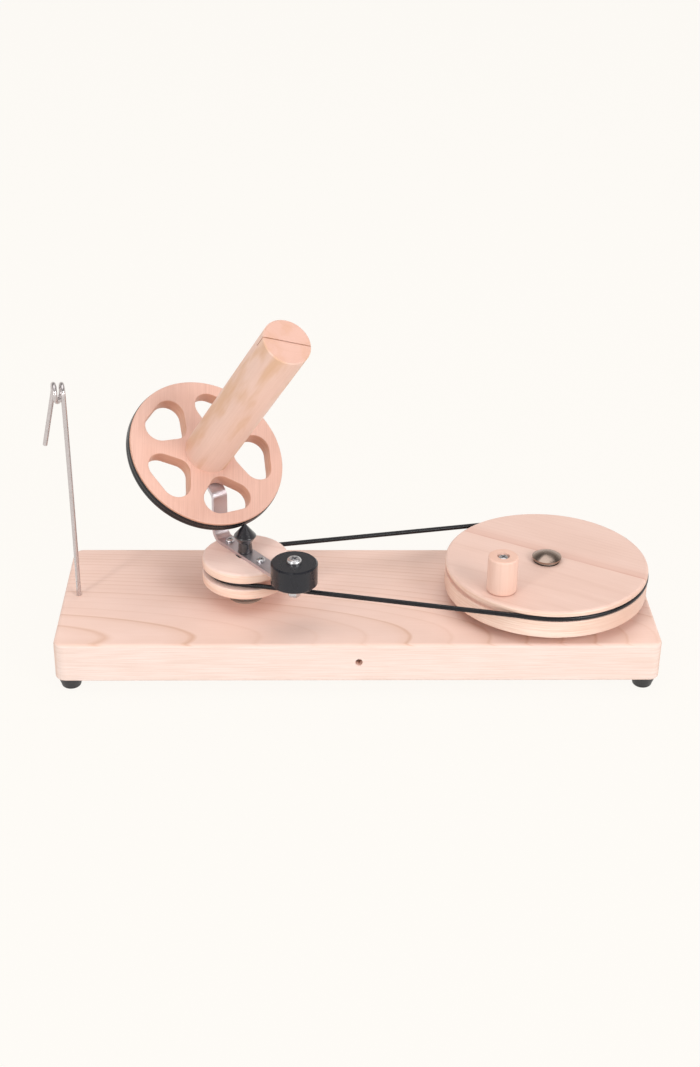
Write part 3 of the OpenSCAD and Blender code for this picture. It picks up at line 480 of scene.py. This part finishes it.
def loop(name, path, radius):
    """A round cord that closes on itself."""
    count, sides = len(path), CORD_SIDES
    corners = []
    for i, place in enumerate(path):
        way = (path[(i + 1) % count] - path[i - 1]).normalized()
        rise = (UP - UP.dot(way) * way).normalized()
        corners += circle(place, way.cross(rise), rise, radius)
    faces = [(i * sides + k, i * sides + (k + 1) % sides,
              (i + 1) % count * sides + (k + 1) % sides, (i + 1) % count * sides + k)
             for i in range(count) for k in range(sides)]
    return smooth(made_mesh(name, corners, faces))


def arc(middle, radius, start, end, steps=8):
    """Places along an arc, its angles in degrees."""
    return [(middle[0] + radius * math.cos(math.radians(turn)),
             middle[1] + radius * math.sin(math.radians(turn)))
            for turn in (start + (end - start) * k / steps for k in range(steps + 1))]


def lathe(name, outline, place, axis=UP, sides=128):
    """A closed outline of radii and heights in millimetres, turned about an axis."""
    first = axis.orthogonal().normalized()
    second = axis.cross(first)
    corners = []
    for k in range(sides):
        turn = 2 * math.pi * k / sides
        out = math.cos(turn) * first + math.sin(turn) * second
        corners += [place + MM * (radius * out + height * axis) for radius, height in outline]
    count = len(outline)
    faces = [(k * count + i, (k + 1) % sides * count + i,
              (k + 1) % sides * count + (i + 1) % count, k * count + (i + 1) % count)
             for k in range(sides) for i in range(count)]
    mesh = made_mesh(name, corners, faces)
    form = bmesh.new()
    form.from_mesh(mesh)
    bmesh.ops.recalc_face_normals(form, faces=form.faces)
    form.to_mesh(mesh)
    form.free()
    return smooth(mesh)


# Winding wheel with its windows' edges rounded, and its tyre bulging over the groove
def off_spindle(corner):
    """Distance from the spindle's axis, in millimetres."""
    away = corner - spindle_place
    return (away - away.dot(spindle_axis) * spindle_axis).length / MM


REAR_LIP_Z, LIP_R, REAR_LIP_TRIM = -10.4, 66, 0.8
WINDOWS_FROM_R, WINDOWS_TO_R, WINDOW_ROUND = 20, 60, 0.9
carved = softened("winding_wheel", WINDOW_ROUND,
                  lambda corner: WINDOWS_FROM_R < off_spindle(corner) < WINDOWS_TO_R)
for corner in carved.vertices:
    away = corner.co - spindle_place
    height = away.dot(spindle_axis)
    outward = away - height * spindle_axis
    if height < REAR_LIP_Z * MM and outward.length > LIP_R * MM:
        corner.co = corner.co - REAR_LIP_TRIM * MM * outward.normalized()
add_piece("winding_wheel_carved", carved, "spindle", "turned_wood", winding_wood,
          "winding_wheel")

TYRE_MIDDLE, TYRE_SEAT_R, TYRE_SIDES = -6.5, 64.4, 160
tyre_side = [(TYRE_SEAT_R, 4.0), (67.8, 4.0), (68.2, 4.5), (68.6, 4.2), (68.85, 3.4),
             (69.0, 2.2), (68.98, 1.1), (68.8, 0.35)]
tyre_outline = tyre_side + [(radius, -height) for radius, height in tyre_side[::-1]]
add_piece("rolling_tyre",
          lathe("rolling_tyre", tyre_outline, spindle_place + TYRE_MIDDLE * MM * spindle_axis,
                spindle_axis, TYRE_SIDES),
          "spindle", "band_rubber", band_rubber, "winding_tyre")

# Pulley with its deep groove for the band
PULLEY_Z, PULLEY_R, PULLEY_TALL, PULLEY_ROUND = 61.5, 36.5, 24.5, 3.2
PULLEY_BAND_R, PULLEY_BAND_RISE, GROOVE_R, LIP_ROUND = 30.7, 12.9, 2.9, 1.2
PULLEY_BORE_R, PULLEY_HOLE_R, PULLEY_HOLE_Z = 11.05, 8.25, 23.05
upper_lip = PULLEY_BAND_RISE + GROOVE_R + LIP_ROUND
lower_lip = PULLEY_BAND_RISE - GROOVE_R - LIP_ROUND
pulley_outline = (
    [(PULLEY_HOLE_R, PULLEY_TALL)]
    + arc((PULLEY_R - PULLEY_ROUND, PULLEY_TALL - PULLEY_ROUND), PULLEY_ROUND, 90, 0)
    + arc((PULLEY_R - LIP_ROUND, upper_lip), LIP_ROUND, 0, -90, 5)
    + arc((PULLEY_BAND_R, PULLEY_BAND_RISE), GROOVE_R, 90, 270, 10)
    + arc((PULLEY_R - LIP_ROUND, lower_lip), LIP_ROUND, 90, 0, 5)
    + arc((PULLEY_R - PULLEY_ROUND, PULLEY_ROUND), PULLEY_ROUND, 0, -90)
    + [(PULLEY_BORE_R, 0), (PULLEY_BORE_R, PULLEY_HOLE_Z), (PULLEY_HOLE_R, PULLEY_HOLE_Z)])
add_piece("grooved_pulley",
          lathe("grooved_pulley", pulley_outline, Vector((post_axis.x, 0, PULLEY_Z * MM))),
          "flyer", "turned_wood", pulley_wood, "flyer_pulley")

# Drive wheel, its groove made shallow so that the band stands a little proud of the rim
DRIVE_BAND_R, DRIVE_BAND_Z, DRIVE_RIM_R = 84.6, 73.1, 86
GROOVE_Z, GROOVE_HALF, GROOVE_FLOOR_R, GROOVE_KEPT, GROOVE_DROP = 73.7, 3, 80, 0.68, 0.6
wheel_mesh = NODES["drive_wheel"].data.copy()
for corner in wheel_mesh.vertices:
    out = Vector((corner.co.x - drive_axis.x, corner.co.y - drive_axis.y, 0))
    depth = DRIVE_RIM_R * MM - out.length
    if (abs(corner.co.z - GROOVE_Z * MM) < GROOVE_HALF * MM
            and out.length > GROOVE_FLOOR_R * MM):
        corner.co = corner.co + (1 - GROOVE_KEPT) * depth * out.normalized()
        corner.co.z -= GROOVE_DROP * MM
add_piece("grooved_drive_wheel", smooth(wheel_mesh), "crank_wheel", "turned_wood", drive_wood,
          "drive_wheel")

# Round band over both wheels, level where it leaves a groove
BAND_R, DRIVE_ARC_STEPS, PULLEY_ARC_STEPS = 2, 72, 40
PULLEY_BAND_Z = PULLEY_Z + PULLEY_BAND_RISE
spacing = (drive_axis.x - post_axis.x) / MM
wrap = math.asin((DRIVE_BAND_R - PULLEY_BAND_R) / spacing)


def level_end(x, rim, reach, side, way):
    """Where the band, level from its groove, has left a wheel's rim."""
    run = way * (math.sqrt(rim * rim - reach * reach) + 2 * BAND_R)
    return (x - reach * math.sin(wrap) - run * math.cos(wrap),
            side * (reach * math.cos(wrap) - run * math.sin(wrap)))


def raised(places, height):
    return [Vector((x, y, height)) * MM for x, y in places]


drive_x, post_x = drive_axis.x / MM, post_axis.x / MM
wrap_turn = math.degrees(wrap)
band_path = (
    raised([level_end(drive_x, DRIVE_RIM_R, DRIVE_BAND_R, -1, 1)], DRIVE_BAND_Z)
    + raised(arc((drive_x, 0), DRIVE_BAND_R, -90 - wrap_turn, 90 + wrap_turn,
                 DRIVE_ARC_STEPS), DRIVE_BAND_Z)
    + raised([level_end(drive_x, DRIVE_RIM_R, DRIVE_BAND_R, 1, 1)], DRIVE_BAND_Z)
    + raised([level_end(post_x, PULLEY_R, PULLEY_BAND_R, 1, -1)], PULLEY_BAND_Z)
    + raised(arc((post_x, 0), PULLEY_BAND_R, 90 + wrap_turn, 270 - wrap_turn,
                 PULLEY_ARC_STEPS), PULLEY_BAND_Z)
    + raised([level_end(post_x, PULLEY_R, PULLEY_BAND_R, -1, -1)], PULLEY_BAND_Z))
add_piece("round_band", loop("round_band", band_path, BAND_R * MM), "base", "band_rubber",
          band_rubber, "drive_band")

# Counterweight's lock nut, with the plastic ring that grips the thread
weight_low, weight_high = (Vector(corner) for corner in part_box("weight_nut"))
weight_place = (weight_low + weight_high) / 2
NUT_CORNER_R, NUT_TALL, NUT_BORE_R, NUT_SIDES = 6.35, 8.6, 3.05, 6
nut_outline = [(NUT_BORE_R, 0), (NUT_BORE_R, -NUT_TALL + 0.3), (NUT_BORE_R + 1.4, -NUT_TALL),
               (4.9, -NUT_TALL), (5.3, -NUT_TALL + 1.6), (5.9, -NUT_TALL + 2.0),
               (NUT_CORNER_R, -NUT_TALL + 2.4), (NUT_CORNER_R, -0.35), (5.6, 0)]
nut_mesh = lathe("lock_nut", nut_outline,
                 Vector((weight_place.x, weight_place.y, weight_high.z)), UP, NUT_SIDES)
add_piece("weight_lock_nut", nut_mesh, "flyer", "plated_steel", bright_steel, "weight_nut")

# Yarn guide: the solid's bends in finer steps, its upright bowed a little and its eye wider
GUIDE_X, GUIDE_BOW, GUIDE_WIRE_R, EYE_R, EYE_STEP = -237, 1.5, 2, 7, 3.3
GUIDE_Z, GUIDE_FOOT_Z, EYE_HALF_TURNS = 230.6, 21.5, 3
LEG_BEND_R, LEG_LEAN, LEG_LEN = 10, math.radians(11.5), 49
EYE_X = GUIDE_X - GUIDE_BOW
# Steps of the upright and of the leg's bend, and degrees of each step round the eye
UPRIGHT_STEPS, LEG_STEPS, EYE_TURN = 12, 6, 6


def upright_place(share):
    """Up the bowed upright, by the share of its height."""
    return (GUIDE_X - GUIDE_BOW * share ** 2, 0, GUIDE_FOOT_Z + share * (GUIDE_Z - GUIDE_FOOT_Z))


def eye_place(turn):
    half, part = divmod(turn, 180)
    sway = (1 - math.cos(math.radians(part))) / 2
    return (EYE_X - EYE_STEP * (half + sway), EYE_R * (1 - math.cos(math.radians(turn))),
            GUIDE_Z + EYE_R * math.sin(math.radians(turn)))


def leg_place(lean, run):
    out = LEG_BEND_R * (1 - math.cos(lean)) + run * math.sin(lean)
    down = LEG_BEND_R * math.sin(lean) + run * math.cos(lean)
    return (EYE_X - EYE_HALF_TURNS * EYE_STEP - out, 2 * EYE_R, GUIDE_Z - down)


guide_path = ([upright_place(step / UPRIGHT_STEPS) for step in range(UPRIGHT_STEPS)]
              + [eye_place(turn) for turn in range(0, 180 * EYE_HALF_TURNS + 1, EYE_TURN)]
              + [leg_place(LEG_LEAN * step / LEG_STEPS, 0) for step in range(1, LEG_STEPS + 1)]
              + [leg_place(LEG_LEAN, LEG_LEN)])
add_piece("guide_wire", tube("guide_wire", [Vector(place) * MM for place in guide_path],
                             GUIDE_WIRE_R * MM), "base", "bright_steel", wire_steel, "yarn_guide")

# Softened edges, by their width in millimetres
EDGES = {
    0.8: ["counterweight"],
    0.35: ["winder_arm", "spindle_core"],
    0.2: ["arm_screws", "weight_screw", "knob_screw", "spindle_nut", "knob_nut",
          "axle_lock_nut", "post_lock_nut", "post_board_washer", "axle_top_washer",
          "knob_washer", "spindle_washer", "axle_board_washer", "spindle_axle"],
}
for width, names in EDGES.items():
    for name in names:
        flat = NODES[name].modifiers.new("flat_faces", "DECIMATE")
        flat.decimate_type = "DISSOLVE"
        flat.angle_limit = FLAT_TURN
        soft_edge = NODES[name].modifiers.new("soft_edge", "BEVEL")
        soft_edge.width = width * MM
        soft_edge.segments = 2
        soft_edge.limit_method = "ANGLE"
        soft_edge.angle_limit = SHARP_TURN
        soft_edge.use_clamp_overlap = False
        soft_edge.harden_normals = True

# Camera: the photograph's height and focal length, in pixels, and where its camera stood, in
# metres and radians
PHOTO_HEIGHT, FOCAL_PIXELS = 1067, 1716.55
camera_place = Vector((-0.04826, -1.26808, 0.79440))
camera_yaw, camera_pitch, camera_roll = 0.0329, 0.4973, 0.0164

forward = Vector((math.sin(camera_yaw) * math.cos(camera_pitch),
                  math.cos(camera_yaw) * math.cos(camera_pitch), -math.sin(camera_pitch)))
level = Vector((math.cos(camera_yaw), -math.sin(camera_yaw), 0))
top = level.cross(forward)
right = math.cos(camera_roll) * level + math.sin(camera_roll) * top
upward = math.cos(camera_roll) * top - math.sin(camera_roll) * level

camera_data = bpy.data.cameras.new("photo_camera")
camera_data.sensor_width = 36
camera_data.lens = camera_data.sensor_width * FOCAL_PIXELS / PHOTO_HEIGHT
camera = bpy.data.objects.new("photo_camera", camera_data)
camera.matrix_world = (Matrix.Translation(camera_place)
                       @ Matrix((right, upward, -forward)).transposed().to_4x4())
bpy.context.scene.collection.objects.link(camera)
bpy.context.scene.camera = camera


# Lamps, aimed at the middle of the winder
LAMP_AIM = Vector((0, 0, 0.08))


def softbox(name, place, width, height, power):
    data = bpy.data.lights.new(name, "AREA")
    data.shape = "RECTANGLE"
    data.size, data.size_y = width, height
    data.energy = power
    lamp = bpy.data.objects.new(name, data)
    lamp.location = place
    lamp.rotation_euler = (LAMP_AIM - Vector(place)).to_track_quat("-Z", "Y").to_euler()
    bpy.context.scene.collection.objects.link(lamp)


softbox("key_softbox", (1.6, -1.65, 1.3), width=1.2, height=1.2, power=33)
softbox("fill_softbox", (-1.3, -1.6, 0.9), width=0.22, height=1.5, power=13)
softbox("top_softbox", (-0.1, 0.1, 2.1), width=2.5, height=1.6, power=20)

# Backdrop and floor
BACKDROP = srgb(253, 250, 245)
AMBIENT = 0.47
CEILING = {"From Min": 0.2, "From Max": 0.65, "To Min": 1.0, "To Max": 0.2}
FLOOR_HALF, FLOOR_SHADE, FLOOR_GLOW = 9.0, 0.03, 0.975
FLOOR_LIT = (0.8, 0.79, 0.77, 1)


def by_ray(tree, lit, seen):
    """Seen for rays that look at the backdrop, from the camera and off or through a piece, and
    lit for all others."""
    path = tree.nodes.new("ShaderNodeLightPath")
    total = path.outputs["Is Camera Ray"]
    for kind in ("Is Glossy Ray", "Is Transmission Ray"):
        either = tree.nodes.new("ShaderNodeMath")
        either.operation = "MAXIMUM"
        tree.links.new(total, either.inputs[0])
        tree.links.new(path.outputs[kind], either.inputs[1])
        total = either.outputs[0]
    split = tree.nodes.new("ShaderNodeMixShader")
    for source, socket in zip((total, lit, seen), split.inputs):
        tree.links.new(source, socket)
    return split.outputs[0]


def light_world():
    """Plain light all round, under a backdrop that dims towards the ceiling."""
    world = bpy.data.worlds.new("studio")
    bpy.context.scene.world = world
    world.use_nodes = True
    nodes, links = world.node_tree.nodes, world.node_tree.links
    coords = nodes.new("ShaderNodeTexCoord")
    parts = nodes.new("ShaderNodeSeparateXYZ")
    links.new(coords.outputs["Generated"], parts.inputs[0])
    ceiling = nodes.new("ShaderNodeMapRange")
    for key, level in CEILING.items():
        ceiling.inputs[key].default_value = level
    links.new(parts.outputs["Z"], ceiling.inputs["Value"])
    seen = nodes["Background"]
    seen.inputs["Color"].default_value = BACKDROP
    links.new(ceiling.outputs[0], seen.inputs["Strength"])
    soft = nodes.new("ShaderNodeBackground")
    soft.inputs["Color"].default_value = (1, 1, 1, 1)
    soft.inputs["Strength"].default_value = AMBIENT
    links.new(by_ray(world.node_tree, soft.outputs[0], seen.outputs[0]),
              nodes["World Output"].inputs["Surface"])


def floor_paint():
    """The backdrop's colour where it is seen, with the winder's shadow, and pale elsewhere."""
    paint = bpy.data.materials.new("floor_paint")
    paint.use_nodes = True
    nodes, links = paint.node_tree.nodes, paint.node_tree.links
    nodes.remove(nodes["Principled BSDF"])
    pale = nodes.new("ShaderNodeBsdfDiffuse")
    pale.inputs["Color"].default_value = FLOOR_LIT
    faint = nodes.new("ShaderNodeBsdfDiffuse")
    faint.inputs["Color"].default_value = toned(BACKDROP, FLOOR_SHADE)
    glow = nodes.new("ShaderNodeEmission")
    glow.inputs["Color"].default_value = BACKDROP
    glow.inputs["Strength"].default_value = FLOOR_GLOW
    shown = nodes.new("ShaderNodeAddShader")
    links.new(faint.outputs[0], shown.inputs[0])
    links.new(glow.outputs[0], shown.inputs[1])
    links.new(by_ray(paint.node_tree, pale.outputs[0], shown.outputs[0]),
              nodes["Material Output"].inputs["Surface"])
    return paint


light_world()
floor_corners = [(x * FLOOR_HALF, y * FLOOR_HALF, 0)
                 for x, y in ((-1, -1), (1, -1), (1, 1), (-1, 1))]
floor_mesh = made_mesh("floor", floor_corners, [(0, 1, 2, 3)])
floor = bpy.data.objects.new("floor", floor_mesh)
bpy.context.scene.collection.objects.link(floor)
floor_mesh.materials.append(floor_paint())

bpy.context.scene.view_settings.view_transform = "Standard"
